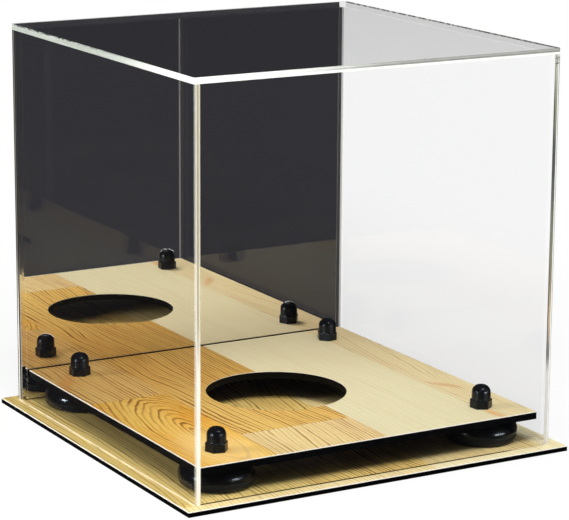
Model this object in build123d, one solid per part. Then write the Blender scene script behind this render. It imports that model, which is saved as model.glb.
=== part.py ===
from build123d import *
import math
import os

# Display case with a clear lift-off cover, a mirrored back wall and a raised deck.
# Millimetres. +Z is up, the front faces -Y, and the mirror is at the +Y side.
# The origin is the centre of the base board's underside, which stands on the table.

# Cover: five bonded sheets, open below
COVER_WIDTH = 254.0
COVER_DEPTH = 254.0
COVER_HEIGHT = 254.0
SHEET = 4.0
# radius of the polished upright corners, and of the top sheet's upper rim
CORNER_RADIUS = 1.0
RIM_RADIUS = 0.4

# Base board: a black core with a wood-grain print layer on its upper face
BASE_MARGIN = 8.5
BASE_CORE = 2.8
PRINT_LAYER = 0.4

# Riser: a deck of the same build on four rubber feet
DECK_CORE = 4.4
# gap between the deck's edge and the cover's walls
DECK_GAP = 1.8
SEAT_RADIUS = 46.0
FASTENER_INSET = 25.4

# Rubber foot: a bun with a recess below for the screw head
FOOT_HEIGHT = 16.2
FOOT_SOLE_RADIUS = 17.5
FOOT_WIDEST_RADIUS = 23.4
FOOT_WIDEST_HEIGHT = 6.2
FOOT_TOP_RADIUS = 16.5
FOOT_RECESS_DEPTH = 6.0
HEAD_CLEARANCE = 1.6

# Steel washer moulded in the foot, at the roof of the recess
WASHER_RADIUS = 9.4
WASHER_THICKNESS = 1.2
MOULD_GAP = 0.02

# Pan head screw, up through the foot and the deck
SCREW_RADIUS = 3.0
SCREW_HOLE_CLEARANCE = 0.3
SCREW_HEAD_RADIUS = 5.8
SCREW_HEAD_HEIGHT = 3.2
SCREW_HEAD_ROUND = 1.6
SCREW_PROTRUSION = 7.0
SCREW_POINT = 0.6
CROSS_LENGTH = 6.0
CROSS_WIDTH = 1.1
CROSS_DEPTH = 1.8

# Hex nut on the deck
NUT_FLATS = 10.0
NUT_HEIGHT = 5.2
NUT_BORE_CLEARANCE = 0.05
NUT_CHAMFER_ANGLE = 30.0

# Domed cap over the nut and the screw's end
CAP_SOCKET_GAP = 0.15
CAP_WALL = 1.15
CAP_SKIRT_HEIGHT = 6.0
CAP_SKIRT_ROUND = 0.8
CAP_RIM_ROUND = 0.4
CAP_HEIGHT = 15.0
CAP_CROWN_ROUND = 4.8
CAP_SHOULDER = 0.1
CAP_TAPER = 0.3
# level inside the skirt where the round body's taper starts
CAP_TAPER_LEVEL = 3.0
CAP_BORE_GAP = 0.4
CAP_END_GAP = 1.8
CAP_SOCKET_HEADROOM = 0.3
# how far each cap and its nut were left turned, in degrees
FASTENER_TURNS = {
    "front_left": 47.7,
    "front_right": 35.2,
    "rear_left": 28.0,
    "rear_right": 8.0,
}

# Levels and spans that follow from the sizes above
BASE_WIDTH = COVER_WIDTH + 2 * BASE_MARGIN
BASE_DEPTH = COVER_DEPTH + 2 * BASE_MARGIN
BASE_TOP = BASE_CORE + PRINT_LAYER
WALL_HEIGHT = COVER_HEIGHT - SHEET
WALL_TOP = BASE_TOP + WALL_HEIGHT
DECK_WIDTH = COVER_WIDTH - 2 * (SHEET + DECK_GAP)
DECK_DEPTH = COVER_DEPTH - 2 * (SHEET + DECK_GAP)
DECK_BOTTOM = BASE_TOP + FOOT_HEIGHT
DECK_CORE_TOP = DECK_BOTTOM + DECK_CORE
DECK_TOP = DECK_CORE_TOP + PRINT_LAYER
FASTENER_X = DECK_WIDTH / 2 - FASTENER_INSET
FASTENER_Y = DECK_DEPTH / 2 - FASTENER_INSET
HEAD_SEAT = BASE_TOP + FOOT_RECESS_DEPTH
SCREW_TOP = DECK_TOP + SCREW_PROTRUSION
SCREW_HOLE_RADIUS = SCREW_RADIUS + SCREW_HOLE_CLEARANCE
CAP_SOCKET_FLATS = NUT_FLATS + 2 * CAP_SOCKET_GAP
CAP_SKIRT_FLATS = CAP_SOCKET_FLATS + 2 * CAP_WALL
CAP_SOCKET_DEPTH = NUT_HEIGHT + CAP_SOCKET_HEADROOM
CAP_BORE_RADIUS = SCREW_RADIUS + CAP_BORE_GAP
CAP_BORE_DEPTH = SCREW_PROTRUSION + CAP_END_GAP
CAP_DOME_BASE_RADIUS = CAP_SKIRT_FLATS / 2 - CAP_SHOULDER
CAP_DOME_RADIUS = CAP_DOME_BASE_RADIUS - CAP_TAPER

CORNERS = {
    "front_left": (-FASTENER_X, -FASTENER_Y),
    "front_right": (FASTENER_X, -FASTENER_Y),
    "rear_left": (-FASTENER_X, FASTENER_Y),
    "rear_right": (FASTENER_X, FASTENER_Y),
}
BOTTOM = (Align.CENTER, Align.CENTER, Align.MIN)
parts = {}


def slab(width, depth, height, level):
    """A flat board centred on the origin, standing on the given level."""
    return Pos(0, 0, level) * Box(width, depth, height, align=BOTTOM)


def disc(radius, height, level):
    """A round plate or bore about the Z axis, from the given level up."""
    return Pos(0, 0, level) * Cylinder(radius, height, align=BOTTOM)


def hexagon(flats, height, level):
    """A hexagonal prism about the Z axis, with a corner on the X axis."""
    outline = RegularPolygon(flats / 2, 6, major_radius=False)
    return Pos(0, 0, level) * extrude(outline, height)


def at_corners(shape):
    """The same shape at the four fastener places."""
    return [Pos(x, y, 0) * shape for x, y in CORNERS.values()]


# Base board
def base_core():
    return slab(BASE_WIDTH, BASE_DEPTH, BASE_CORE, 0)


def base_print():
    return slab(BASE_WIDTH, BASE_DEPTH, PRINT_LAYER, BASE_CORE)


# Deck, with the round seat hole and a screw hole over each foot
def deck_layer(height, level):
    layer = slab(DECK_WIDTH, DECK_DEPTH, height, level)
    layer -= disc(SEAT_RADIUS, height, level)
    for hole in at_corners(disc(SCREW_HOLE_RADIUS, height, level)):
        layer -= hole
    return layer


# Rubber foot: turned outline, recess, washer groove and screw hole
def foot():
    sole = FOOT_SOLE_RADIUS
    widest = FOOT_WIDEST_RADIUS
    waist = FOOT_WIDEST_HEIGHT
    top = FOOT_TOP_RADIUS
    upper = FOOT_HEIGHT - waist
    lower_bulge = math.sqrt(0.5)
    low_mid = (sole + (widest - sole) * lower_bulge, waist * (1 - lower_bulge))
    high_mid = (top + (widest - top) * lower_bulge, waist + upper * lower_bulge)
    outline = Polyline((0, FOOT_HEIGHT), (0, 0), (sole, 0))
    outline += ThreePointArc((sole, 0), low_mid, (widest, waist))
    outline += ThreePointArc((widest, waist), high_mid, (top, FOOT_HEIGHT))
    outline += Line((top, FOOT_HEIGHT), (0, FOOT_HEIGHT))
    bun = revolve(Plane.XZ * make_face(outline), Axis.Z)
    bun -= disc(SCREW_HEAD_RADIUS + HEAD_CLEARANCE, FOOT_RECESS_DEPTH, 0)
    bun -= disc(WASHER_RADIUS + MOULD_GAP, WASHER_THICKNESS + MOULD_GAP, FOOT_RECESS_DEPTH)
    bun -= disc(SCREW_HOLE_RADIUS, FOOT_HEIGHT, 0)
    return Pos(0, 0, BASE_TOP) * bun


def washer():
    ring = disc(WASHER_RADIUS, WASHER_THICKNESS, HEAD_SEAT)
    return ring - disc(SCREW_HOLE_RADIUS, WASHER_THICKNESS, HEAD_SEAT)


# Screw: rounded head with a cross recess below, plain shank with a chamfered end
def screw():
    head = disc(SCREW_HEAD_RADIUS, SCREW_HEAD_HEIGHT, HEAD_SEAT - SCREW_HEAD_HEIGHT)
    head = fillet(head.edges().group_by(Axis.Z)[0], SCREW_HEAD_ROUND)
    shank = disc(SCREW_RADIUS, SCREW_TOP - HEAD_SEAT, HEAD_SEAT)
    shank = chamfer(shank.edges().group_by(Axis.Z)[-1], SCREW_POINT)
    body = head + shank
    recess_level = HEAD_SEAT - SCREW_HEAD_HEIGHT
    body -= slab(CROSS_LENGTH, CROSS_WIDTH, CROSS_DEPTH, recess_level)
    body -= slab(CROSS_WIDTH, CROSS_LENGTH, CROSS_DEPTH, recess_level)
    return body


# Nut: a hexagon whose upper corners are turned off
def nut():
    corner_radius = NUT_FLATS / math.sqrt(3)
    flat_radius = NUT_FLATS / 2 - NUT_BORE_CLEARANCE
    drop = (corner_radius - flat_radius) * math.tan(math.radians(NUT_CHAMFER_ANGLE))
    straight = disc(corner_radius, NUT_HEIGHT - drop, 0)
    turned = straight + Pos(0, 0, NUT_HEIGHT - drop) * Cone(corner_radius, flat_radius, drop, align=BOTTOM)
    body = hexagon(NUT_FLATS, NUT_HEIGHT, 0) & turned
    body -= disc(SCREW_RADIUS + NUT_BORE_CLEARANCE, NUT_HEIGHT, 0)
    return Pos(0, 0, DECK_TOP) * body


# Cap: hexagonal skirt, tapering round body and a slightly flattened crown, hollow below
def cap():
    skirt = hexagon(CAP_SKIRT_FLATS, CAP_SKIRT_HEIGHT, 0)
    skirt = fillet(skirt.edges().filter_by(Axis.Z), CAP_SKIRT_ROUND)
    skirt = fillet(skirt.faces().sort_by(Axis.Z)[-1].edges(), CAP_SKIRT_ROUND)
    skirt = fillet(skirt.faces().sort_by(Axis.Z)[0].edges(), CAP_RIM_ROUND)
    body = Cone(CAP_DOME_BASE_RADIUS, CAP_DOME_RADIUS, CAP_HEIGHT - CAP_TAPER_LEVEL, align=BOTTOM)
    body = fillet(body.edges().group_by(Axis.Z)[-1], CAP_CROWN_ROUND)
    shell = skirt + Pos(0, 0, CAP_TAPER_LEVEL) * body
    shell -= hexagon(CAP_SOCKET_FLATS, CAP_SOCKET_DEPTH, 0)
    shell -= disc(CAP_BORE_RADIUS, CAP_BORE_DEPTH, 0)
    return Pos(0, 0, DECK_TOP) * shell


# Cover sheets: the side sheets run the full depth, and the top sheet lies on all four
def top_sheet():
    sheet = slab(COVER_WIDTH, COVER_DEPTH, SHEET, WALL_TOP)
    sheet = fillet(sheet.edges().filter_by(Axis.Z), CORNER_RADIUS)
    return fillet(sheet.faces().sort_by(Axis.Z)[-1].edges(), RIM_RADIUS)


def side_sheet(side):
    x = side * (COVER_WIDTH - SHEET) / 2
    sheet = Pos(x, 0, BASE_TOP) * Box(SHEET, COVER_DEPTH, WALL_HEIGHT, align=BOTTOM)
    outer = sheet.edges().filter_by(Axis.Z).sort_by(Axis.X)
    outer = outer[:2] if side < 0 else outer[-2:]
    return fillet(outer, CORNER_RADIUS)


def cross_sheet(side):
    y = side * (COVER_DEPTH - SHEET) / 2
    return Pos(0, y, BASE_TOP) * Box(COVER_WIDTH - 2 * SHEET, SHEET, WALL_HEIGHT, align=BOTTOM)


parts["base_board"] = base_core()
parts["base_laminate"] = base_print()
parts["deck_board"] = deck_layer(DECK_CORE, DECK_BOTTOM)
parts["deck_laminate"] = deck_layer(PRINT_LAYER, DECK_CORE_TOP)
parts["top_panel"] = top_sheet()
parts["front_panel"] = cross_sheet(-1)
parts["left_panel"] = side_sheet(-1)
parts["right_panel"] = side_sheet(1)
parts["mirror_panel"] = cross_sheet(1)

# The four fastener stacks: foot, washer, screw, nut and cap
stack = {
    "foot": foot(),
    "foot_washer": washer(),
    "foot_screw": screw(),
    "hex_nut": nut(),
    "nut_cap": cap(),
}
for corner, (x, y) in CORNERS.items():
    for name, shape in stack.items():
        place = Pos(x, y, 0) * Rot(0, 0, FASTENER_TURNS[corner])
        parts[f"{name}_{corner}"] = place * shape

os.makedirs("parts", exist_ok=True)
for name, shape in parts.items():
    export_step(shape, f"parts/{name}.step")
    print(name, round(shape.volume, 2))
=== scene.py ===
# %% [markdown]
# # A clear display case with a mirrored back wall
#
# The real case is a cube of five bonded acrylic sheets that lifts off a flat board. Four of
# the sheets are clear and the one at the back is a mirror. Inside stands a second board, the
# deck, raised on four rubber feet, with a round seat hole in its middle and a black cap over
# the nut above each foot. Both boards are black with a printed wood-grain face.
#
# This lesson dresses the packed model. The frame's shapes are already right, so every node
# keeps its mesh, and the work is in the finishes, the light and the camera.

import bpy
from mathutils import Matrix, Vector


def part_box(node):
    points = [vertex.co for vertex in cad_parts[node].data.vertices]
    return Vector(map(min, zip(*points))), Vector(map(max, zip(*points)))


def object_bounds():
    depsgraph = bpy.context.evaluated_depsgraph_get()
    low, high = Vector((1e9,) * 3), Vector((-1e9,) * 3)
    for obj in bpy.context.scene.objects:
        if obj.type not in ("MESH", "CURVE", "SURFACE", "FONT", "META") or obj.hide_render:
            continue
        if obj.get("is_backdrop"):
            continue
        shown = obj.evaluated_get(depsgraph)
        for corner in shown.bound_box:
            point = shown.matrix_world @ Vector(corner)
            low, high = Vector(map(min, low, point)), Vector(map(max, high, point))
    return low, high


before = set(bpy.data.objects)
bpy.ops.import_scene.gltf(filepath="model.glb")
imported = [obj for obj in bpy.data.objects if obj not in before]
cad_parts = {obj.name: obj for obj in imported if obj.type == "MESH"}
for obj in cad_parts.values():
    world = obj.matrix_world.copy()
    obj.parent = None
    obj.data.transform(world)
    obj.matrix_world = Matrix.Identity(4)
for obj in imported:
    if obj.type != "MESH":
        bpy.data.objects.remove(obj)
cad_low, cad_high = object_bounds()
print("size in mm", [round(1000 * (high - low), 1) for low, high in zip(cad_low, cad_high)])

# %% [markdown]
# ## The sheets' faces, in millimetres
#
# Every finish below is placed by where a point lies on the case, so the script first asks the
# frame where the sheets begin and end. Reading the numbers from the frame, and not typing them
# in, keeps the finishes in place when the model's sizes change.

# %% Read the sheets' faces
import bpy
import math
from mathutils import Matrix, Vector

MM = 1000.0


def span(node):
    """Lowest and highest corner of a node, in millimetres."""
    low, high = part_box(node)
    return [MM * v for v in low], [MM * v for v in high]


top_low, top_high = span("top_panel")
left_low, left_high = span("left_panel")
OUTER = top_high[0]
INNER = -left_high[0]
SHEET = OUTER - INNER
FLOOR_LEVEL = left_low[2]
CEILING = top_low[2]
ROOF = top_high[2]
DECK_HALF = span("deck_laminate")[1][0]
BASE_HALF = span("base_laminate")[1][0]
print("outer", round(OUTER, 2), "inner", round(INNER, 2), "sheet", round(SHEET, 2))
print("deck", round(2 * DECK_HALF, 2), "base", round(2 * BASE_HALF, 2))
print("walls from", round(FLOOR_LEVEL, 2), "to", round(CEILING, 2), "roof", round(ROOF, 2))

# %% [markdown]
# ## The camera
#
# The photograph looks down at the case from its front left corner with a long lens, so the
# upright edges stay nearly parallel. A camera can be set with an empty to look at, but a long
# lens shows every tenth of a degree. Here the measured azimuth, elevation and roll give the
# three axes of the camera directly, and the axes and the place make its matrix.

# %% Place the camera
AZIMUTH, ELEVATION, ROLL = -29.880, 13.128, 0.364
PLACE = Vector((-0.77818, -1.36275, 0.47761))

turn, rise, tilt = (math.radians(v) for v in (AZIMUTH, ELEVATION, ROLL))
backward = Vector((math.sin(turn) * math.cos(rise), -math.cos(turn) * math.cos(rise), math.sin(rise)))
level = (-backward).cross(Vector((0, 0, 1))).normalized()
upward = level.cross(-backward)
across = math.cos(tilt) * level + math.sin(tilt) * upward
above = math.cos(tilt) * upward - math.sin(tilt) * level

lens = bpy.data.cameras.new("view")
lens.sensor_fit = "HORIZONTAL"
lens.sensor_width = 36.0
lens.lens = 158.277
lens.shift_x, lens.shift_y = 0.00198, -0.00029
lens.clip_start, lens.clip_end = 0.05, 50.0
lens.dof.use_dof = False
camera = bpy.data.objects.new("view", lens)
axes = Matrix((across, above, backward)).transposed().to_4x4()
camera.matrix_world = Matrix.Translation(PLACE) @ axes
bpy.context.scene.collection.objects.link(camera)
bpy.context.scene.camera = camera
print("camera distance", round(PLACE.length, 3), "m, lens", round(lens.lens, 1), "mm")

# %% [markdown]
# ## A bench for shader maths
#
# A procedural finish is mostly arithmetic: where am I, how far from the edge, how strong is the
# streak here. Wiring that by hand takes dozens of Math nodes. A small class wraps a socket, so
# that an expression such as 1 - mask * 0.5 adds the Math nodes by itself. Colours don't go
# through it, because a Math node would turn them grey: they are mixed with Mix nodes.

# %% The Wire class
class Wire:
    """One output socket that takes part in arithmetic and adds Math nodes as it goes."""

    def __init__(self, bench, socket):
        self.bench = bench
        self.socket = socket

    def __add__(self, other):
        return self.bench.calc("ADD", self, other)

    __radd__ = __add__

    def __sub__(self, other):
        return self.bench.calc("SUBTRACT", self, other)

    def __rsub__(self, other):
        return self.bench.calc("SUBTRACT", other, self)

    def __mul__(self, other):
        return self.bench.calc("MULTIPLY", self, other)

    __rmul__ = __mul__

    def __truediv__(self, other):
        return self.bench.calc("DIVIDE", self, other)

    def __pow__(self, other):
        return self.bench.calc("POWER", self, other)

    def __gt__(self, other):
        return self.bench.calc("GREATER_THAN", self, other)

    def __lt__(self, other):
        return self.bench.calc("LESS_THAN", self, other)

    def __abs__(self):
        return self.bench.calc("ABSOLUTE", self)


print("operators:", ", ".join(n for n, made in vars(Wire).items() if callable(made) and n != "__init__"))

# %% [markdown]
# The bench itself holds one node tree. All nodes but the Math ones come from its method
# `node`, which takes the node's type, its settings and what goes into its sockets. The rest
# are words for things that a finish says often: a soft step, a band about a level, a noise.

# %% The Bench class
class Bench:
    """A node tree, with one method that adds nodes to it."""

    def __init__(self, owner):
        owner.use_nodes = True
        self.tree = owner.node_tree
        self.tree.nodes.clear()

    def node(self, kind, settings=None, sockets=None, out=0):
        made = self.tree.nodes.new(kind)
        for key, value in (settings or {}).items():
            setattr(made, key, value)
        for key, value in (sockets or {}).items():
            target = made.inputs[key]
            if isinstance(value, Wire):
                self.tree.links.new(value.socket, target)
            elif isinstance(value, (tuple, list)) and len(value) == 3 and len(target.default_value) == 4:
                target.default_value = (*value, 1.0)
            else:
                target.default_value = value
        return Wire(self, made.outputs[out]) if made.outputs else None

    def calc(self, operation, *values):
        return self.node("ShaderNodeMath", {"operation": operation}, dict(enumerate(values)))

    def smaller(self, a, b):
        return self.calc("MINIMUM", a, b)

    def larger(self, a, b):
        return self.calc("MAXIMUM", a, b)

    def step(self, value, low, high):
        """0 below low, 1 above high, and smooth between; high may be the lower of the two."""
        settings = {"interpolation_type": "SMOOTHSTEP"}
        return self.node("ShaderNodeMapRange", settings, {0: value, 1: low, 2: high, 3: 0.0, 4: 1.0})

    def band(self, value, centre, half, soft):
        """1 within half of the centre, falling to 0 over soft."""
        return self.step(abs(value - centre), half + soft, half)

    def mix(self, factor, a, b):
        """From the colour a to the colour b."""
        return self.node("ShaderNodeMix", {"data_type": "RGBA"}, {0: factor, 6: a, 7: b}, out=2)

    def ramp(self, value, stops):
        """Colours along a line: stops are pairs of a value and its colour, with the values rising."""
        before, colour = stops[0]
        for here, following in stops[1:]:
            colour = self.mix(self.step(value, before, here), colour, following)
            before = here
        return colour

    def split(self, vector):
        """A vector's x, y and z."""
        parts = self.node("ShaderNodeSeparateXYZ", sockets={0: vector}).socket.node
        return [Wire(self, socket) for socket in parts.outputs]

    def place(self):
        """x, y and z on the case in millimetres, at rest."""
        return [part * MM for part in self.split(self.node("ShaderNodeTexCoord", out=3))]

    def facing(self):
        """How far the surface faces along x, y and z, each from 0 to 1."""
        return [abs(part) for part in self.split(self.node("ShaderNodeTexCoord", out=1))]

    def behind(self):
        """1 where the surface is seen from inside the sheet."""
        return Wire(self, self.node("ShaderNodeNewGeometry").socket.node.outputs["Backfacing"])

    def ray(self, kind):
        """1 for the rays of one kind, such as Camera or Glossy."""
        return Wire(self, self.node("ShaderNodeLightPath").socket.node.outputs[f"Is {kind} Ray"])

    def noise(self, x, y, z, detail=2.0, rough=0.5):
        """Soft noise from 0 to 1, whose blotches are about 1 wide, so x, y and z come scaled."""
        spot = self.node("ShaderNodeCombineXYZ", sockets={0: x, 1: y, 2: z})
        sockets = {"Vector": spot, "Scale": 1.0, "Detail": detail, "Roughness": rough}
        return self.node("ShaderNodeTexNoise", {"noise_dimensions": "3D"}, sockets)

    def bump(self, strength, distance, height):
        sockets = {"Strength": strength, "Distance": distance, "Height": height}
        return self.node("ShaderNodeBump", sockets=sockets)

    def principled(self, sockets):
        return self.node("ShaderNodeBsdfPrincipled", sockets=sockets)

    def ends(self, shader, kind="ShaderNodeOutputMaterial"):
        self.node(kind, sockets={"Surface": shader})


def srgb(red, green, blue):
    """A colour as a paint chart or a screen gives it, from 0 to 255, as Blender's linear light."""
    shares = [v / 255.0 for v in (red, green, blue)]
    return tuple(v / 12.92 if v <= 0.04045 else ((v + 0.055) / 1.055) ** 2.4 for v in shares)


def finish_named(name):
    """A new material and its bench."""
    material = bpy.data.materials.new(name)
    return material, Bench(material)


WHITE = (1.0, 1.0, 1.0)
BLACK = (0.0, 0.0, 0.0)
print("middle grey", [round(v, 3) for v in srgb(119, 119, 119)])

# %% [markdown]
# ## Room, floor and light
#
# The case stands in a white sweep, and the studio behind the camera is dark: the mirror
# shows that, a nearly black room. Polished sheets show their surroundings more than
# their own colour, so the room matters as much as the lamps. A white world is what the camera
# sees directly and through the clear sheets, and as a light it is weaker and comes from above.

# %% The world
SKY, HORIZON = 0.57, 0.02

world = bpy.data.worlds.new("sweep")
bpy.context.scene.world = world
bench = Bench(world)
seen = bench.larger(bench.larger(bench.ray("Camera"), bench.ray("Glossy")), bench.ray("Transmission"))
height = bench.split(bench.node("ShaderNodeTexCoord", out=0))[2]
soft = bench.step(height, 0.25, 0.95) * SKY + HORIZON
strength = seen + (1 - seen) * soft
white = bench.node("ShaderNodeBackground", sockets={"Color": WHITE, "Strength": strength})
bench.ends(white, "ShaderNodeOutputWorld")
print("sky light from above", SKY)

# %% [markdown]
# The floor is one large pale sheet. To the camera it gives most of its light itself, so that
# it is as white as the world: near the case a part of it is lit by the lamps, which keeps the
# case's soft shadow, and further away it is all its own light, because no lamp reaches there.
# Reflections see it dark, as they see the room.

# %% The floor
ROOM = (0.0357, 0.0362, 0.0430)
FLOOR_HALF, FLOOR_DROP = 12.0, 0.0001
# the lamps' part in the floor's light, and the distances in mm between which it fades
SHADOW_SHARE = 0.17
SHADOW_NEAR, SHADOW_FAR = 260.0, 620.0


def studio_piece(name, points, faces, material):
    """A mesh that belongs to the studio and not to the case."""
    mesh = bpy.data.meshes.new(name)
    mesh.from_pydata(points, [], faces)
    mesh.materials.append(material)
    thing = bpy.data.objects.new(name, mesh)
    bpy.context.scene.collection.objects.link(thing)
    return thing


material, bench = finish_named("floor_paper")
direct = bench.larger(bench.ray("Camera"), bench.ray("Transmission"))
x, y, _ = bench.place()
far = bench.step(bench.calc("SQRT", x * x + y * y), SHADOW_NEAR, SHADOW_FAR)
own = bench.node("ShaderNodeEmission", sockets={"Color": WHITE, "Strength": 1.0})
paper = bench.node("ShaderNodeBsdfDiffuse", sockets={"Color": (0.86, 0.86, 0.86)})
near = bench.node("ShaderNodeMixShader", sockets={0: direct * (1 - SHADOW_SHARE), 1: paper, 2: own})
lit = bench.node("ShaderNodeMixShader", sockets={0: direct * far, 1: near, 2: own})
dark = bench.node("ShaderNodeEmission", sockets={"Color": ROOM, "Strength": 1.0})
bench.ends(bench.node("ShaderNodeMixShader", sockets={0: bench.ray("Glossy"), 1: lit, 2: dark}))
quarters = ((-1, -1), (1, -1), (1, 1), (-1, 1))
corners = [(right * FLOOR_HALF, back * FLOOR_HALF, -FLOOR_DROP) for right, back in quarters]
floor = studio_piece("floor", corners, [(0, 1, 2, 3)], material)
floor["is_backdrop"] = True
print("floor", 2 * FLOOR_HALF, "m wide, white beyond", SHADOW_FAR, "mm")

# %% [markdown]
# The room is a dark, faintly blue dome round the set that only reflections see, which is how
# black cloth hung behind a camera works. A dome needs no care for corners, and a few rings of
# flat faces do, because it has one even colour.

# %% The dark room
RINGS, SIDES, REACH = 12, 24, 6.0

shell, walls = [], []
for ring in range(RINGS + 1):
    lift = math.pi / 2 * ring / RINGS
    wide = REACH * math.cos(lift)
    for side in range(SIDES):
        angle = 2 * math.pi * side / SIDES
        shell.append((wide * math.cos(angle), wide * math.sin(angle), REACH * math.sin(lift)))
for ring in range(RINGS):
    for side in range(SIDES):
        first = ring * SIDES + side
        second = ring * SIDES + (side + 1) % SIDES
        walls.append((first, second, second + SIDES, first + SIDES))
material, bench = finish_named("black_cloth")
bench.ends(bench.node("ShaderNodeEmission", sockets={"Color": ROOM, "Strength": 1.0}))
room = studio_piece("dark_room", shell, walls, material)
for ray in ("camera", "diffuse", "transmission", "volume_scatter", "shadow"):
    setattr(room, "visible_" + ray, False)
room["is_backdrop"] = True
print("room shell", len(walls), "faces, radius", REACH, "m")

# %% [markdown]
# ### Lamps
#
# Two soft boxes light the case. The large one hangs high in front, so its light reaches only
# a little way in under the deck, and a lower one at the left reaches in further there. Polished
# black parts show a lamp's shape more than its light. So three more boxes are there for the
# glints alone: a wide low one draws the oval on each rubber foot, a high one lies on the caps'
# crowns, and a narrow one at the left draws the line down each cap. Light linking keeps these
# three off all else, and the first two boxes give no glints.

# %% Hang the lamps
AIM = Vector((0.0, 0.0, 0.08))


def soft_box(name, place, width, height, power):
    """A rectangular lamp that looks at the case's lower half, sizes in metres, power in watts."""
    data = bpy.data.lights.new(name, "AREA")
    data.shape = "RECTANGLE"
    data.size, data.size_y = width, height
    data.energy = power
    lamp = bpy.data.objects.new(name, data)
    bpy.context.scene.collection.objects.link(lamp)
    lamp.location = place
    lamp.rotation_mode = "QUATERNION"
    lamp.rotation_quaternion = (AIM - Vector(place)).to_track_quat("-Z", "Y")
    lamp.visible_camera = False
    return lamp


for name, place, width, height, power in (
    ("high_front", (-0.35, -0.80, 1.55), 0.8, 0.7, 25.5),
    ("left_box", (-1.45, 0.45, 0.62), 0.6, 0.7, 13.0),
):
    soft_box(name, place, width, height, power).visible_glossy = False

shiny = bpy.data.collections.new("shiny_parts")
for node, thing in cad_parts.items():
    if node.startswith(("foot_", "nut_cap", "hex_nut")):
        shiny.objects.link(thing)
for name, place, width, height, power in (
    ("foot_glint", (0.73, -1.37, 0.08), 0.8, 0.14, 20.0),
    ("cap_glint", (0.225, -0.785, 1.26), 0.35, 0.35, 10.0),
    ("cap_strip", (-1.3, -0.15, 0.11), 0.25, 0.20, 16.0),
):
    glint = soft_box(name, place, width, height, power)
    glint.visible_diffuse = False
    glint.light_linking.receiver_collection = shiny

# %% [markdown]
# ## Clear acrylic
# On the right sheet the same mix also carries painted shade.
#
# A clear sheet is nearly nothing to look at: its faces reflect a few percent straight on and
# more at a glancing angle, and the rest passes through. Real refraction would be noisy at the
# bonded corners, where two sheets share a face, so the sheet is a see-through Principled
# surface: where it is opaque it mirrors, and its opacity rises with the fifth power of how
# glancing the look is, as a clear face's gloss does. Two faces that are bonded together have no
# gloss at all, because no air is left between them. A little haze, which only takes light away,
# is mixed in last: acrylic is never quite clear.
#
# What one really sees of such a case is its edges. A polished edge collects the light that
# travels inside the sheet and shines nearly white, with fine streaks from the saw, and a far
# edge that is seen from inside the sheet is dark, with a light line. Here both are painted: the
# bright edges get near-white colours, a share of which glows, and the far edges get painted tones.

# %% Gloss and saw streaks
GLOSS = 0.48
HEAD_ON = 0.04


def gloss_by_angle(bench):
    """Share of light that a clear face reflects, by its angle."""
    glance = bench.node("ShaderNodeLayerWeight", sockets={"Blend": 0.5}, out=1)
    return (glance ** 5.0 * (1 - HEAD_ON) + HEAD_ON) * GLOSS


def streaks(bench, along, a, b):
    """Fine lines along a saw-cut edge, from 0 to 1: long in one direction, fine in the others."""
    long_noise = bench.noise(along * 0.018, a * 1.9, b * 1.9, detail=3.0, rough=0.6)
    fine_noise = bench.noise(along * 0.15, a * 4.0, b * 4.0, detail=1.0)
    return bench.step(long_noise * 0.7 + fine_noise * 0.3, 0.35, 0.68)


print("gloss straight on", round(HEAD_ON * GLOSS, 3), "per face")

# %% [markdown]
# A sheet's finish is built as a painter works, in layers. Each layer has a mask, which says where
# it lies, and brings its colour, its opacity and the share of its colour that it gives off as
# light. What no layer covers stays clear.

# %% The clear sheet
# a face counts as facing along an axis where its normal has more than this along it
FACING = 0.6
# above this level a wall's face that looks up is the one bonded to the roof
BONDED = CEILING - 0.2
MIRROR_FILM = (0.92, 0.90, 0.86)
FILM_ROUGH = 0.015
LAYER_ROUGH = 0.22


class ClearSheet:
    """The finish of one clear sheet: layers of colour and opacity, each with a mask."""

    def __init__(self, name):
        self.material, self.bench = finish_named(name)
        self.x, self.y, self.z = self.bench.place()
        self.fx, self.fy, self.fz = self.bench.facing()
        self.inside = self.bench.behind()
        smudge = self.bench.noise(*(v * 0.012 for v in (self.x, self.y, self.z)), detail=4.0)
        self.colour = self.bench.mix(smudge, (0.90, 0.93, 0.92), WHITE)
        self.opacity = gloss_by_angle(self.bench)
        self.glow = BLACK
        self.metal = 1.0
        self.rough = 0.02 + smudge * 0.02
        self.haze_and_shade = smudge * 0.002

    def layer(self, mask, colour, opacity, glow=0.0):
        """Lays a painted or lit part over what is there."""
        bench = self.bench
        self.colour = bench.mix(mask, self.colour, colour)
        self.opacity = self.opacity * (1 - mask) + mask * opacity
        self.metal = self.metal * (1 - mask)
        self.rough = self.rough * (1 - mask) + mask * LAYER_ROUGH
        lit = bench.mix(glow, BLACK, colour)
        self.glow = bench.mix(mask, self.glow, lit)

    def mirrored(self, mask):
        """Makes a part a mirror, where the sheet shows its neighbour's film."""
        self.colour = self.bench.mix(mask, self.colour, MIRROR_FILM)
        self.opacity = self.opacity * (1 - mask) + mask
        self.metal = self.metal * (1 - mask) + mask
        self.rough = self.rough * (1 - mask) + mask * FILM_ROUGH
        self.glow = self.bench.mix(mask, self.glow, BLACK)

    def clear(self, mask):
        """Takes all gloss away, as where two sheets are bonded."""
        self.opacity = self.opacity * (1 - mask)
        self.glow = self.bench.mix(mask, self.glow, BLACK)

    def done(self):
        """The material, once all layers are on it."""
        shader = self.bench.principled(
            {
                "Base Color": self.colour,
                "Metallic": self.metal,
                "Roughness": self.rough,
                "Alpha": self.opacity,
                "Emission Color": self.glow,
                "Emission Strength": 1.0,
            }
        )
        shade = self.bench.node("ShaderNodeBsdfTransparent", sockets={"Color": BLACK})
        shader = self.bench.node("ShaderNodeMixShader", sockets={0: self.haze_and_shade, 1: shader, 2: shade})
        self.bench.ends(shader)
        return self.material


def dress(node, material):
    """Gives a frame node its finish in all its material slots."""
    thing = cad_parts[node]
    if not thing.material_slots:
        thing.data.materials.append(material)
    for place in thing.material_slots:
        place.material = material


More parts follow.
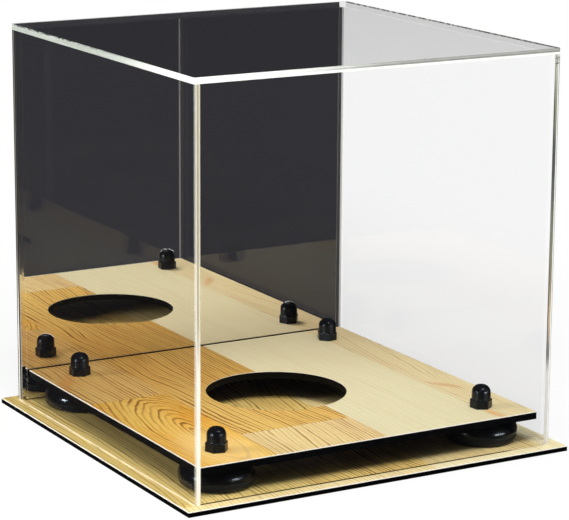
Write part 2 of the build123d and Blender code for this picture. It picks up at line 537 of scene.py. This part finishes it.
print("walls are bonded to the roof above", round(BONDED, 2), "mm")

# %% [markdown]
# ### The top sheet
#
# It lies on all four walls, so its four edges show all round as a bright band, painted near
# white and partly glowing. Towards the front's right end, where the white sweep stands behind it,
# the band's upper part is painted greyer, with two darker lines. The side edges are painted
# duller away from the front, with a broken dark line near the top. The sheet's further face,
# seen through it, takes a little light away and mirrors nothing. The far edge over the mirror
# is painted as dark as the mirror, with a thin painted light line on top, and the far side edge
# is painted grey, with a broken dark line there.

# %% Finish the top sheet
# the edges' painted light: near-white colours, and the share of them that glows
EDGE_WHITE = srgb(246, 247, 244)
EDGE_GREEN = srgb(226, 230, 222)
EDGE_GLOW = 0.34
ROOF_GLOSS = 0.78

sheet = ClearSheet("clear_top")
b = sheet.bench
sheet.opacity = sheet.opacity * ROOF_GLOSS
under = (sheet.fz > FACING) * sheet.inside
sheet.haze_and_shade = under * sheet.opacity
sheet.clear(under)
side = b.step(sheet.fz, 0.80, 0.55)
front_rear = side * (sheet.fy > FACING)
left_right = side * (sheet.fx > FACING)
below = ROOF - sheet.z
ragged = b.step(b.noise(sheet.x * 0.22, sheet.y * 0.22, sheet.z * 0.8, detail=3.0), 0.42, 0.60)

# the front and rear edges: a painted bright band that partly glows, painted greyer with two dark lines
# where the sweep stands behind
saw = streaks(b, sheet.x, sheet.y, sheet.z)
outside = front_rear * (1 - sheet.inside)
sheet.layer(outside, b.mix(saw, EDGE_GREEN, EDGE_WHITE), 0.97, EDGE_GLOW)
bright_behind = outside * b.step(sheet.x, -75.0, 25.0) * (sheet.y < 0.0)
sheet.layer(bright_behind * b.step(below, 2.7, 2.4), srgb(172, 173, 167), 0.95, 0.10)
lines = b.larger(b.step(below, 0.65, 0.50), b.band(below, 1.95, 0.38, 0.2))
sheet.layer(bright_behind * lines * (0.7 + 0.3 * ragged), srgb(144, 145, 139), 0.95, 0.06)

# the left and right edges: painted bright near the front, painted duller further back, with a painted
# broken dark line near the top
saw = streaks(b, sheet.y, sheet.x, sheet.z)
outside = left_right * (1 - sheet.inside)
near = b.step(sheet.y, -20.0, -95.0)
dull = b.mix(saw, srgb(165, 171, 161), srgb(194, 199, 190))
sheet.layer(outside, b.mix(near, dull, b.mix(saw, EDGE_GREEN, EDGE_WHITE)), 0.95, EDGE_GLOW)
far_part = b.step(sheet.y, -70.0, 60.0)
sheet.layer(outside * b.step(below, 1.3, 0.5) * far_part * ragged, srgb(44, 46, 42), 0.9)

# the far edges, seen from inside the sheet: painted dark over the mirror with a painted light line on
# top, and painted grey at the side with a dark line
far_rear = side * sheet.inside * (sheet.y > 0.0) * (sheet.fy > 0.5) * (sheet.x < INNER - 1.4)
sheet.layer(far_rear, srgb(48, 48, 51), 1.0, 0.6)
sheet.layer(far_rear * b.step(below, 0.55, 0.25), srgb(196, 198, 194), 0.9, 0.6)
far_side = side * sheet.inside * (sheet.fx > 0.5)
sheet.layer(far_side, srgb(120, 122, 118), 0.33, 0.1)
dashes = b.step(b.noise(0.0, sheet.y * 0.24, 0.0), 0.44, 0.52)
dashes = b.larger(dashes, b.step(sheet.y, 0.0, -60.0) * 0.6)
sheet.layer(far_side * b.step(below, 1.25, 0.95) * (0.25 + 0.75 * dashes), srgb(52, 52, 50), 0.93)
dress("top_panel", sheet.done())
print("top sheet nodes", len(b.tree.nodes))

# %% [markdown]
# ### The side sheets
#
# The two side sheets run the full depth of the case, so their front ends are the bright upright
# bands at the corners, painted near white and partly glowing. A clear edge gathers whatever lies
# beyond it, so the right one's band has three painted lines in it, standing in for what lies
# beyond, whose tones change with the height. They are kept as ramps up the edge.

# %% The lines in the right sheet's end
EDGE_PALE = srgb(225, 226, 222)
LINE_HEIGHTS = [
    (50.0, srgb(221, 219, 212)),
    (63.0, srgb(108, 104, 100)),
    (105.0, srgb(108, 92, 66)),
    (145.0, srgb(122, 126, 114)),
    (188.0, srgb(60, 64, 64)),
    (218.0, srgb(62, 64, 44)),
    (249.0, srgb(164, 166, 146)),
]
SECOND_LINE_HEIGHTS = [
    (50.0, srgb(223, 221, 213)),
    (63.0, srgb(130, 124, 120)),
    (84.0, srgb(204, 182, 150)),
    (115.0, srgb(142, 134, 108)),
    (188.0, srgb(62, 67, 70)),
    (222.0, srgb(144, 146, 122)),
    (249.0, srgb(192, 194, 178)),
]
RIM_HEIGHTS = [
    (30.0, srgb(222, 222, 218)),
    (110.0, srgb(176, 176, 170)),
    (230.0, srgb(118, 118, 111)),
]


def right_end_lines(sheet, outside, depth):
    """Lays the three painted lines, and a few specks at the top, on the right sheet's front end."""
    b = sheet.bench
    second = b.ramp(sheet.z, SECOND_LINE_HEIGHTS)
    sheet.layer(outside * b.band(depth, 0.40, 0.18, 0.06), second, 0.95, 0.06)
    sheet.layer(outside * b.step(depth, 0.26, 0.20), b.ramp(sheet.z, LINE_HEIGHTS), 0.96, 0.06)
    rim = b.ramp(sheet.z, RIM_HEIGHTS)
    sheet.layer(outside * b.band(depth, 0.90, 0.10, 0.05), rim, 0.95, 0.04)
    specks = b.step(b.noise(sheet.x * 1.1, 0.0, sheet.z * 1.1, detail=1.0), 0.50, 0.56)
    at_the_top = b.step(sheet.z, 245.0, 248.0) * b.step(sheet.z, 252.6, 251.0)
    sheet.layer(outside * specks * at_the_top, srgb(60, 60, 58), 0.9)


print("stops up the edge:", len(LINE_HEIGHTS), len(SECOND_LINE_HEIGHTS), len(RIM_HEIGHTS))

# %% [markdown]
# The left sheet's rear end, seen through the sheet, is painted dark with one light line, and its
# inner part shows the neighbouring film of the mirror. The right sheet's outer face takes a
# little light away with painted shade, most of all low down, and in a narrow strip under the
# roof, where the look through the case crosses one face fewer. The bottom edge of each has a
# painted bright line along the base, as if lit from inside. The top edge is bonded to the roof,
# so it has no gloss.

# %% Finish the side sheets
def side_sheet_finish(name, outward):
    """outward is -1 for the left sheet and 1 for the right one."""
    sheet = ClearSheet(name)
    b = sheet.bench
    depth = (sheet.x * outward - INNER) / SHEET
    end = b.step(sheet.fx, 0.97, 0.92) * (sheet.fy > 0.2)
    # the end at the front: painted bright bands and lines, partly glowing
    front_end = end * (sheet.y < 0.0)
    saw = streaks(b, sheet.z, sheet.x, sheet.y)
    outside = front_end * (1 - sheet.inside)
    if outward < 0:
        sheet.layer(outside, b.mix(saw, srgb(238, 232, 216), srgb(247, 244, 234)), 0.95, 0.24)
        high = b.step(sheet.z, 76.0, 118.0)
        sheet.layer(outside * b.step(depth, 0.26, 0.16) * high, srgb(232, 222, 198), 0.85, 0.20)
        sheet.layer(outside * b.band(depth, 0.42, 0.15, 0.08) * high, srgb(184, 178, 150), 0.90, 0.12)
        sheet.opacity = sheet.opacity * (1 - outside * b.step(depth, 0.12, 0.05) * 0.6)
        sheet.opacity = sheet.opacity * (1 - outside * b.step(depth, 0.55, 1.0) * 0.8)
        sheet.layer(front_end * sheet.inside * b.band(depth, 0.5, 0.2, 0.1), EDGE_WHITE, 0.22, 0.1)
    else:
        sheet.layer(outside, b.mix(saw, srgb(226, 229, 220), srgb(240, 242, 235)), 0.88, 0.3)
        seen_from_inside = front_end * sheet.inside
        sheet.layer(seen_from_inside, EDGE_PALE, 0.03, 0.0)
        sheet.layer(seen_from_inside * b.step(depth, 0.36, 0.26), EDGE_PALE, 0.42, 0.2)
        right_end_lines(sheet, outside, depth)
    # the end at the rear: painted bright outside; seen through the left sheet, painted dark with painted
    # light lines
    rear_end = end * (sheet.y > 0.0)
    sheet.layer(rear_end * (1 - sheet.inside), b.mix(saw, EDGE_GREEN, EDGE_WHITE), 0.95, EDGE_GLOW)
    if outward < 0:
        seen_through = rear_end * sheet.inside
        sheet.layer(seen_through, srgb(10, 10, 12), 0.98, 0.1)
        lit_low = b.step(sheet.z, 110.0, 45.0)
        grey = b.mix(lit_low, srgb(106, 102, 94), srgb(242, 240, 233))
        sheet.layer(seen_through * b.band(depth, 0.70, 0.07, 0.04), grey, 1.0, 0.7)
        sheet.mirrored(seen_through * b.step(depth, 0.42, 0.38))
        low_line = seen_through * b.band(depth, 0.30, 0.07, 0.04) * lit_low
        sheet.layer(low_line, srgb(150, 146, 140), 1.0, 0.6)
    else:
        flat = sheet.fx > FACING
        # painted shade: the outer face darker low down, and in a strip under the roof
        under_roof = b.step(sheet.z, CEILING - 1.1, CEILING - 0.9) * flat * (depth > 0.5)
        sheet.haze_and_shade = b.step(sheet.z, 150.0, 10.0) * flat * 0.06 + under_roof * 0.065
    # the bright lines along the base, painted light
    height = sheet.z - FLOOR_LEVEL
    foot_line = b.step(height, 1.45, 0.85) * (depth > 0.95) * (sheet.fx > FACING)
    patchy = b.step(b.noise(0.0, sheet.y * 0.05, 0.0), 0.3, 0.5)
    sheet.layer(foot_line * (0.6 + 0.4 * patchy), srgb(246, 238, 222), 0.72, 0.3)
    inner_face = (depth < 0.05) * (sheet.fx > FACING) * (1 - sheet.inside)
    inner_line = b.step(height, 1.0, 0.6) * inner_face
    sheet.layer(inner_line * (0.2 + 0.6 * patchy), srgb(248, 238, 216), 0.6, 0.3)
    sheet.clear((sheet.fz > FACING) * (sheet.z > BONDED))
    return sheet


for node, outward in (("left_panel", -1), ("right_panel", 1)):
    sheet = side_sheet_finish("clear_" + node, outward)
    dress(node, sheet.done())
    print(node, "nodes", len(sheet.bench.tree.nodes))

# %% [markdown]
# ### The front sheet
#
# It sits between the side sheets and under the top sheet, so its ends and its top edge are
# bonded and have no gloss. Its bottom edge stands on the base and shows as one thin dark line
# of painted shade.

# %% Finish the front sheet
sheet = ClearSheet("clear_front")
b = sheet.bench
sheet.clear(b.larger(sheet.fx > FACING, (sheet.fz > FACING) * (sheet.z > BONDED)))
outer_face = sheet.y < 1 - OUTER
# painted shade: a thin dark line where the sheet stands on the base
foot_line = b.band(sheet.z - FLOOR_LEVEL, 0.45, 0.30, 0.12) * outer_face * b.step(sheet.x, 108.0, 92.0)
sheet.layer(foot_line, srgb(50, 30, 14), 0.95)
dress("front_panel", sheet.done())
print("front sheet nodes", len(b.tree.nodes))

# %% [markdown]
# ## The mirror
#
# Acrylic mirror is a sheet with a metal film and a coat of grey paint on its back. Glass
# mirrors are flatter; acrylic always waves a little, which the faint long bump gives. The same
# material paints the back, because the back is a face of the same node: where the point lies
# decides which finish it gets. Its edges are clear acrylic over the film, and look dark. The left
# end is where the camera looks in past the side sheet, so there the cut end is clear, and the
# film at the back mirrors from inside the sheet. At the right end the face has a painted light
# strip and a painted grey one beside it, and along its foot a dark line of painted shade.

# %% Finish the mirror
mirror_low, mirror_high = span("mirror_panel")
material, b = finish_named("mirror_acrylic")
x, y, z = b.place()
fx, fy, fz = b.facing()
back = (fy > FACING) * (y > mirror_high[1] - 0.5)
edge = 1 - (fy > FACING)
top_edge = (fz > FACING) * (z > CEILING - 0.5)
spray = b.noise(x * 0.9, y * 0.9, z * 0.9, detail=4.0, rough=0.7)
clouds = b.noise(x * 0.02, y * 0.02, z * 0.02, detail=3.0)
paint = b.mix(spray * 0.5 + clouds * 0.5, srgb(96, 98, 101), srgb(128, 130, 133))
silver = b.mix(clouds, (0.90, 0.88, 0.85), (0.94, 0.91, 0.88))
colour = b.mix(back, silver, paint)
colour = b.mix(edge, colour, srgb(40, 40, 44))
colour = b.mix(top_edge, colour, srgb(52, 52, 55))
face = (fy > FACING) * (y < mirror_low[1] + 0.5)
last = mirror_high[0]
# painted light and shade at the right end of the face: a light strip, a grey strip beside it, and a dark
# line along the foot
painted_light_strip = face * b.step(x, last - 1.7, last - 1.4)
painted_grey_strip = face * b.step(x, last - 4.3, last - 3.8) * (1 - painted_light_strip)
foot = face * b.step(z, FLOOR_LEVEL + 1.0, FLOOR_LEVEL + 0.5)
colour = b.mix(painted_light_strip, colour, srgb(205, 205, 203))
colour = b.mix(painted_grey_strip, colour, srgb(68, 68, 71))
colour = b.mix(foot, colour, srgb(50, 40, 28))
painted = b.larger(b.larger(painted_light_strip, painted_grey_strip), foot)
inside = b.behind()
film = back * inside
colour = b.mix(film, colour, silver)
metal = b.larger(film, (1 - back) * (1 - edge) * (1 - painted))
cut_end = (fx > FACING) * (x < 0.0)
opacity = 1 - b.larger(cut_end, face * inside)
satin = back * (0.42 + spray * 0.15) + b.larger(edge, painted) * 0.3
rough = 0.012 + clouds * 0.008 + satin * (1 - film)
wave = b.noise(x * 0.006, y * 0.006, z * 0.006, detail=1.0)
sockets = {
    "Base Color": colour,
    "Metallic": metal,
    "Roughness": rough,
    "Alpha": opacity,
    "Normal": b.bump(0.05, 0.001, wave + back * spray * 0.4),
}
b.ends(b.principled(sockets))
dress("mirror_panel", material)
print("mirror nodes", len(b.tree.nodes))

# %% [markdown]
# ## The wood print
#
# Both boards carry the same kind of print: a photograph of light softwood staves, each about
# 80 mm wide, glued side by side, with butt joints where one board ends and the next begins.
# An image would be quicker, but a print made of maths stays sharp at any size. Each stave is a
# rectangle with its own tone and its own place in the log. The growth rings are cones round the
# log's heart, so a cut near the heart shows arches and a cut far from it shows straight lines.

# %% Grain from growth rings
RING = 2.7
# in front of this y the base is its margin, which stands out from under the cover
MARGIN = 0.5 - OUTER


def staves_at(x, y, staves):
    """Adds up each stave's facts over its own rectangle: tone, cool, heart x, heart y, lines."""
    facts = [0.0, 0.0, 0.0, 0.0, 0.0]
    for x0, x1, y0, y1, *own in staves:
        inside = (x > x0) * (x < x1) * (y > y0) * (y < y1)
        facts = [sum_so_far + inside * value for sum_so_far, value in zip(facts, own)]
    return facts


def seams_at(b, x, y, staves):
    """A thin line where two staves meet."""
    seam = 0.0
    for x0, x1, y0, y1, *own in staves:
        across = b.band(x, x1, 0.12, 0.18) * (y > y0) * (y < y1)
        ahead = b.band(y, y1, 0.12, 0.18) * (x > x0) * (x < x1)
        seam = b.larger(seam, b.larger(across, ahead))
    return seam


def flame_at(b, x, y, centre, length, width, angle):
    """A soft long spot, as a knot's shadow leaves in the grain."""
    c, s = math.cos(math.radians(angle)), math.sin(math.radians(angle))
    dx, dy = x - centre[0], y - centre[1]
    along = (dx * c + dy * s) / length
    across = (dy * c - dx * s) / width
    return b.step(along * along + across * across, 1.0, 0.0)


print("one growth ring every", RING, "mm")

# %% [markdown]
# Now the print itself. Two noises bend the distance from the heart, so that no ring is a true
# cone. Its fraction of a ring tells the time of year: pale early wood, then a line of late wood
# that ends sharply. A noise of the ring's number makes some years strong and others faint, a
# stretched one gives the short dark dashes of the pores, and a finer one the fibres. The rear of
# each board lies in shade, and a veil of painted shade there adds what the few lamps leave out.
# The base has such a veil of painted shade on its left margin too. The print ends in a pale rim,
# where its layer was cut, and a painted highlight runs along the top's left and front edges.

# %% The print as a finish
def wood_print(name, half, staves, flames, palette, veil):
    """The print of a board: half is half its width, and veil the shade at its rear.

    The veil is the y where it begins, the y where it is full, and its strength.
    """
    light, deep, cream, straw, brown, sand, shade = palette
    material, b = finish_named(name)
    x, y, _ = b.place()
    fz = b.facing()[2]
    tone, cool, heart_x, heart_y, lines = staves_at(x, y, staves)
    # how far from the heart, with both noises
    sway = b.noise(x * 0.014, y * 0.005, heart_x * 0.05)
    ripple = b.noise(x * 0.11, y * 0.020, heart_x * 0.05)
    from_heart = x - heart_x
    cone = (y - heart_y) * 0.24
    reach = b.calc("SQRT", from_heart * from_heart + cone * cone + 6.0) + sway * 22.0 + ripple * 4.0
    # which ring, and the time of its year
    uneven = b.noise(reach * 0.06, heart_x, heart_y, detail=1.0)
    count = reach / RING + uneven * 2.2
    year = b.calc("FRACT", count)
    late = b.step(year, 0.46, 0.84) * b.step(year, 1.0, 0.94)
    strong = b.step(b.noise((count - year) * 0.83, heart_x, y * 0.008, detail=1.0), 0.40, 0.60)
    patch = b.step(b.noise(x * 0.05, y * 0.02, heart_x), 0.30, 0.60)
    pores = b.noise(x * 1.5, y * 0.07, heart_x, rough=0.65)
    pore = b.step(pores, 0.58, 0.68)
    fibre = b.noise(x * 0.9, y * 0.03, heart_x, detail=3.0, rough=0.7)
    cloud = b.noise(x * 0.03, y * 0.008, heart_y * 0.1, detail=3.0)
    # the colours of the body and of the dark lines
    warm = b.mix(b.step(cloud * 0.6 + fibre * 0.4, 0.32, 0.66), deep, light)
    body = b.mix(tone, b.mix(cool, warm, straw), cream)
    ink = b.mix(tone, brown, sand)
    strength = late * (0.3 + 0.9 * strong) * (0.6 + 0.5 * patch) + pore * 0.28
    strength = b.smaller(strength * lines, 0.9)
    colour = b.mix(strength, body, ink)
    for centre, length, width, angle, depth, tint in flames:
        spot = flame_at(b, x + ripple * 8.0, y, centre, length, width, angle)
        colour = b.mix(spot * depth * (0.7 + 0.3 * late), colour, tint)
    colour = b.mix(seams_at(b, x, y, staves) * 0.35, colour, ink)
    # the painted shade at the rear and on the base's left margin, the cut rim, and a painted highlight
    # along the top's left and front edges
    rear = b.step(y, veil[0], veil[1]) * veil[2] * (1 - tone * 0.7)
    left = b.step(x, 1.0 - OUTER, -1.0 - OUTER) * b.step(y, MARGIN, MARGIN + 6.0) * 0.36
    colour = b.mix(b.larger(rear, left), colour, shade)
    painted_edge_highlight = b.step(b.larger(x * -1.0, y * -1.0), half - 0.9, half - 0.5)
    rim = b.larger(fz < FACING, painted_edge_highlight * 0.9)
    colour = b.mix(rim, colour, srgb(255, 250, 236))
    sockets = {
        "Base Color": colour,
        "Roughness": 0.30 + cloud * 0.08 + late * 0.04 + rim * 0.2,
        "Normal": b.bump(0.10, 0.0002, fibre + pores),
        "Specular IOR Level": 0.16,
    }
    b.ends(b.principled(sockets))
    return material, len(b.tree.nodes)


print("the base's margin lies in front of y =", round(MARGIN, 2), "mm")

# %% [markdown]
# The deck shows four staves side by side, and two of them have a butt joint. The left one is the
# most orange, and the palest is right of the middle. A few flames of darker or paler grain lie
# where a knot was near; the large pale one at the front left is partly painted light, and by the
# front right cap lies an orange spot.

# %% Finish the deck's print
# further out than any board's edge
FAR = 400.0
# light, deep, cream, straw, brown, sand and shade, the last being the colour of the painted shade
DECK_COLOURS = (
    srgb(255, 214, 112),
    srgb(238, 166, 52),
    srgb(238, 230, 190),
    srgb(234, 190, 98),
    srgb(116, 58, 6),
    srgb(204, 168, 104),
    srgb(150, 98, 30),
)
DECK_STAVES = [
    # x from, x to, y from, y to, tone, cool, heart x, heart y, line strength
    (-FAR, -67.5, -FAR, 27.5, 0.0, 0.0, -89.0, -65.0, 0.66),
    (-FAR, -67.5, 27.5, FAR, 0.22, 0.35, -10.0, 60.0, 1.0),
    (-67.5, 10.0, -FAR, -74.3, 0.50, 0.1, -120.0, -30.0, 0.8),
    (-67.5, 10.0, -74.3, FAR, 0.08, 0.6, 40.0, 40.0, 0.9),
    (10.0, 93.5, -FAR, FAR, 0.96, 0.0, 180.0, 20.0, 0.25),
    (93.5, FAR, -FAR, FAR, 0.78, 0.0, 160.0, -60.0, 0.5),
]
FLAME = srgb(214, 132, 62)
DECK_FLAMES = [
    # centre, length, width, angle, strength, tint
    # the first, pale flame is partly the grain and partly painted light on the deck's front left
    ((-88.0, -96.0), 55.0, 30.0, 92.0, 0.75, srgb(255, 220, 146)),
    ((-110.0, 78.0), 26.0, 7.0, 62.0, 0.6, FLAME),
    ((-86.0, -92.0), 12.0, 4.0, 100.0, 0.25, FLAME),
    ((100.0, -112.0), 12.0, 5.0, 95.0, 0.8, srgb(235, 165, 90)),
    ((108.0, -42.0), 18.0, 4.0, 125.0, 0.5, FLAME),
]
DECK_VEIL = (-80.0, 90.0, 0.45)
material, count = wood_print("deck_print", DECK_HALF, DECK_STAVES, DECK_FLAMES, DECK_COLOURS, DECK_VEIL)
dress("deck_laminate", material)
print("deck print nodes", count)

# %% [markdown]
# The base has the same print, cut from another place of the sheet, so its staves fall
# elsewhere. Its margin in front of the case, which nothing shades, is painted the palest part,
# partly as the light that falls there.

# %% Finish the base's print
BASE_COLOURS = (
    srgb(252, 216, 122),
    srgb(228, 186, 90),
    srgb(255, 246, 204),
    srgb(240, 210, 120),
    srgb(110, 72, 14),
    srgb(200, 168, 98),
    srgb(140, 114, 50),
)
BASE_STAVES = [
    (-FAR, -45.0, MARGIN, FAR, 0.14, 0.8, -240.0, 30.0, 0.7),
    (-45.0, 38.0, MARGIN, FAR, 0.12, 0.0, 60.0, -80.0, 0.9),
    (38.0, 121.0, MARGIN, FAR, 0.42, 0.0, 170.0, -30.0, 0.6),
    (121.0, FAR, MARGIN, FAR, 0.95, 0.0, 60.0, 0.0, 0.4),
    # the last three staves are the margin, painted paler and with fainter lines, partly as the light
    # that falls there unshaded
    (-FAR, -45.0, -FAR, MARGIN, 0.50, 0.0, -240.0, 30.0, 0.4),
    (-45.0, 38.0, -FAR, MARGIN, 0.58, 0.0, 60.0, -80.0, 0.4),
    (38.0, FAR, -FAR, MARGIN, 0.86, 0.0, 170.0, -30.0, 0.4),
]
BASE_VEIL = (-60.0, 120.0, 0.2)
material, count = wood_print("base_print", BASE_HALF, BASE_STAVES, [], BASE_COLOURS, BASE_VEIL)
dress("base_laminate", material)
print("base print nodes", count)

# %% [markdown]
# ## Black boards, caps and feet
#
# The boards under the print are black acrylic with cut edges. The caps are moulded plastic
# with a satin skin and a faint ring at the shoulder. The feet are black rubber, with a mould's
# parting line round the widest place and a duller half below it. Very dark things live from
# their highlights, so the work goes into the roughness and the bump, and the colour stays near
# black. The highlights are a little blue, as the dark room is, which the specular tint gives.

# %% The black finish
COOL_GLOSS = (0.76, 0.88, 1.0)


def black_finish(name, colours, rough, grain_scale, bump_depth, gloss, marks):
    """A near-black finish: three colours, a range of roughness, and a bump of grain and marks.

    marks gives the marks' strength, their height, and how much duller the place is.
    """
    material, b = finish_named(name)
    x, y, z = b.place()
    fz = b.facing()[2]
    grain = b.noise(x * grain_scale, y * grain_scale, z * grain_scale, detail=3.0)
    wear = b.noise(x * 0.08, y * 0.08, z * 0.08, detail=4.0)
    mark, mark_height, dull = marks(b, x, y, z, fz)
    colour = b.mix(wear, colours[0], colours[1])
    colour = b.mix(mark * 0.5, colour, colours[2])
    sockets = {
        "Base Color": colour,
        "Roughness": rough[0] + (rough[1] - rough[0]) * wear + mark * 0.08 + dull * 0.5,
        "Normal": b.bump(0.35, bump_depth, grain * 0.6 + mark_height),
        "Specular IOR Level": gloss,
        "Specular Tint": COOL_GLOSS,
    }
    b.ends(b.principled(sockets))
    return material


print("highlights tinted", COOL_GLOSS)

# %% [markdown]
# Each black part has the marks of how it was made. A cutter leaves upright lines on a board's
# edge, a mould leaves a ridge where its halves met, and the cap's dome starts with a faint ring.

# %% Mark and dress the black parts
def cut_streaks(b, x, y, z, fz):
    """Upright lines that a cutter leaves on a board's edge."""
    lines = b.noise(x * 2.2, y * 2.2, z * 0.12)
    mask = b.step(lines, 0.5, 0.7) * (fz < FACING)
    return mask, mask, 0.0


# the foot's widest place, above its sole
WIDEST = span("foot_front_left")[0][2] + 6.2


def parting_line(b, x, y, z, fz):
    """The fine ridge where a mould's halves met, and the duller half below it."""
    line = b.band(z, WIDEST, 0.08, 0.12)
    return line * 0.4, line, b.step(z, WIDEST + 0.4, WIDEST - 1.2)


# the top of the cap's hexagonal skirt, above its rim
SHOULDER = span("nut_cap_front_left")[0][2] + 6.1


def moulded_ring(b, x, y, z, fz):
    """A faint ring at the cap's shoulder."""
    line = b.band(z, SHOULDER, 0.08, 0.15)
    return line * 0.3, line, 0.0


core_blacks = (srgb(3, 3, 3), srgb(5, 5, 5), srgb(8, 8, 8))
core = black_finish("black_core", core_blacks, (0.26, 0.36), 1.2, 0.00003, 0.12, cut_streaks)
for node in ("base_board", "deck_board"):
    dress(node, core)
cap_blacks = (srgb(12, 12, 15), srgb(17, 17, 20), srgb(26, 26, 30))
cap_skin = black_finish("cap_plastic", cap_blacks, (0.24, 0.31), 2.6, 0.00008, 0.2, moulded_ring)
foot_blacks = (srgb(9, 9, 11), srgb(13, 13, 15), srgb(22, 22, 24))
rubber = black_finish("foot_rubber", foot_blacks, (0.17, 0.21), 1.8, 0.00002, 0.17, parting_line)
CORNERS = ("front_left", "front_right", "rear_left", "rear_right")
for corner in CORNERS:
    dress("nut_cap_" + corner, cap_skin)
    dress("foot_" + corner, rubber)
print("black parts dressed:", 2 + 2 * len(CORNERS))

# %% [markdown]
# ## Hidden steel
#
# Under each cap is a plain nut on a screw, and a washer is moulded into each foot. They show
# only when a cap is pulled off or the deck is lifted. Turned and rolled steel has fine rings or
# lines with a satin shine, so the metal's colour is nearly even and its roughness is not.

# %% Finish the steel
def steel_finish(name, light, dark, rough, fineness):
    """Satin steel; fineness is how close its lines lie across and along the screw's axis."""
    material, b = finish_named(name)
    x, y, z = b.place()
    rings = b.noise(x * fineness[0], y * fineness[0], z * fineness[1], detail=3.0, rough=0.6)
    stain = b.noise(x * 0.3, y * 0.3, z * 0.3, detail=3.0)
    sockets = {
        "Base Color": b.mix(rings * 0.5 + stain * 0.5, dark, light),
        "Metallic": 1.0,
        "Roughness": rough + rings * 0.16 + stain * 0.1,
        "Normal": b.bump(0.2, 0.0001, rings),
    }
    b.ends(b.principled(sockets))
    return material


screw_steel = steel_finish("screw_steel", srgb(205, 205, 208), srgb(158, 158, 163), 0.22, (0.8, 6.0))
nut_steel = steel_finish("nut_steel", srgb(214, 214, 218), srgb(170, 170, 174), 0.18, (1.5, 4.0))
washer_steel = steel_finish("washer_steel", srgb(200, 200, 203), srgb(165, 165, 168), 0.26, (3.0, 1.0))
for corner in CORNERS:
    dress("foot_screw_" + corner, screw_steel)
    dress("hex_nut_" + corner, nut_steel)
    dress("foot_washer_" + corner, washer_steel)
print("steel parts dressed:", 3 * len(CORNERS))

# %% [markdown]
# ## Settings and a check
#
# Looking into the case, one line of sight can cross many clear faces on its way to the mirror
# and back, so Cycles may pass more of them than its default allows. Colours are shown as they
# are, with the Standard view. At the end the case's box is compared with the frame's, because
# no finish may change the size.

# %% Write the sizes and finish
scene = bpy.context.scene
scene.view_settings.view_transform = "Standard"
scene.cycles.transparent_max_bounces = 24
bare = [n for n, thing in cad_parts.items() if not thing.material_slots[0].material.use_nodes]
print("nodes without a finish:", bare)
low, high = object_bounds()
for name, now, before in (("high", high, cad_high), ("low", low, cad_low)):
    print("growth of the", name, "corner in mm", [round(MM * v, 3) for v in now - before])
